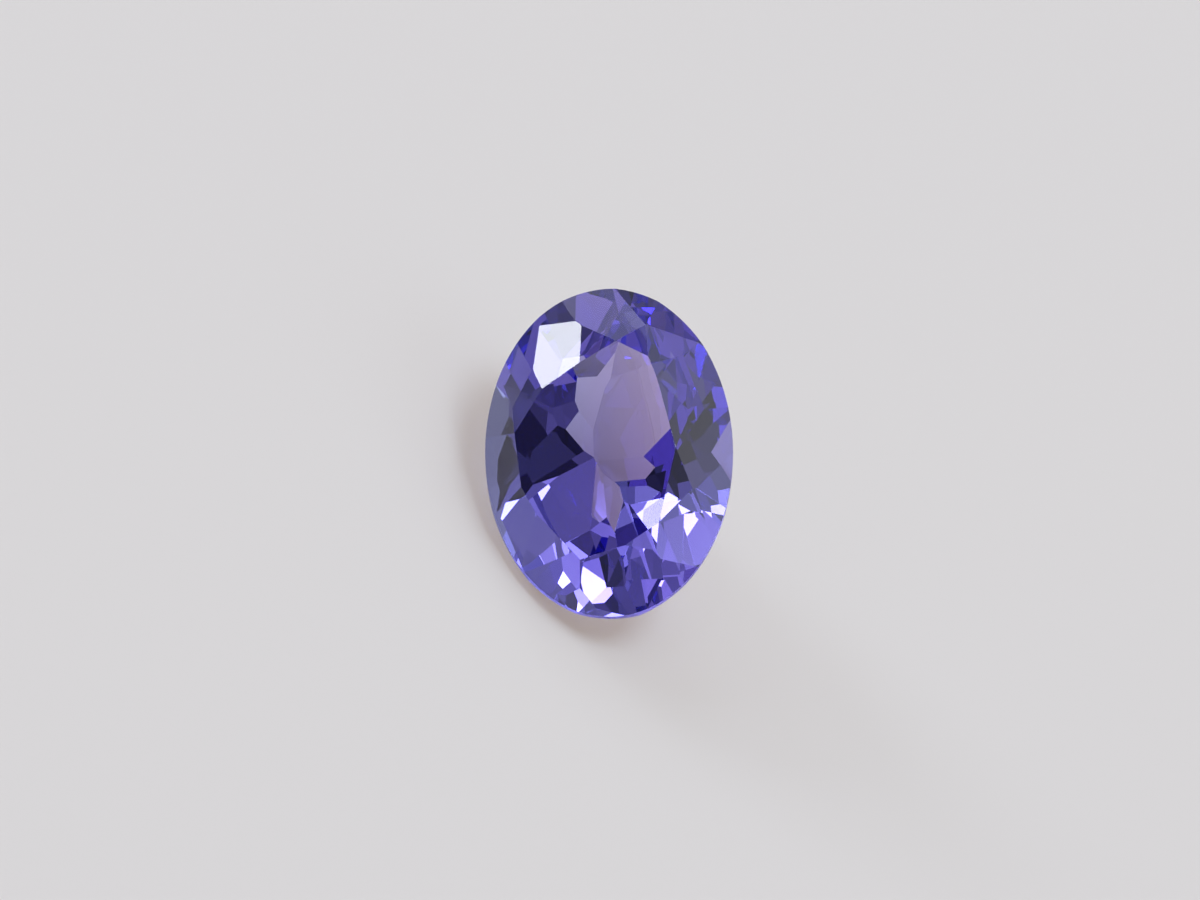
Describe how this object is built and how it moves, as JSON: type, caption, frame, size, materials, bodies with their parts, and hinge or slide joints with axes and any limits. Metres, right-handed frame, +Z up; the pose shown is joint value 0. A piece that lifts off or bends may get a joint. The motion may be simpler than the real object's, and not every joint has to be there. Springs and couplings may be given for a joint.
{
  "type": "oval cut tanzanite gemstone",
  "caption": "Faceted oval gemstone of violet blue tanzanite, loose and unset, lying tilted on a large pavilion facet with its table facing up and to one side.",
  "frame": {"origin": "centre of the bottom of the bounding box, on the surface that the stone lies on", "axes": "+Z is up, -Z is the outward normal of the resting facet, and +X is the level direction of the oval's long axis"},
  "size_m": [0.0078, 0.0052, 0.0045],
  "materials": {
    "tanzanite": "polished facets of clear violet blue zoisite, with a slightly frosted girdle"
  },
  "bodies": {
    "root": {"tanzanite": "tanzanite"}
  },
  "joints": []
}
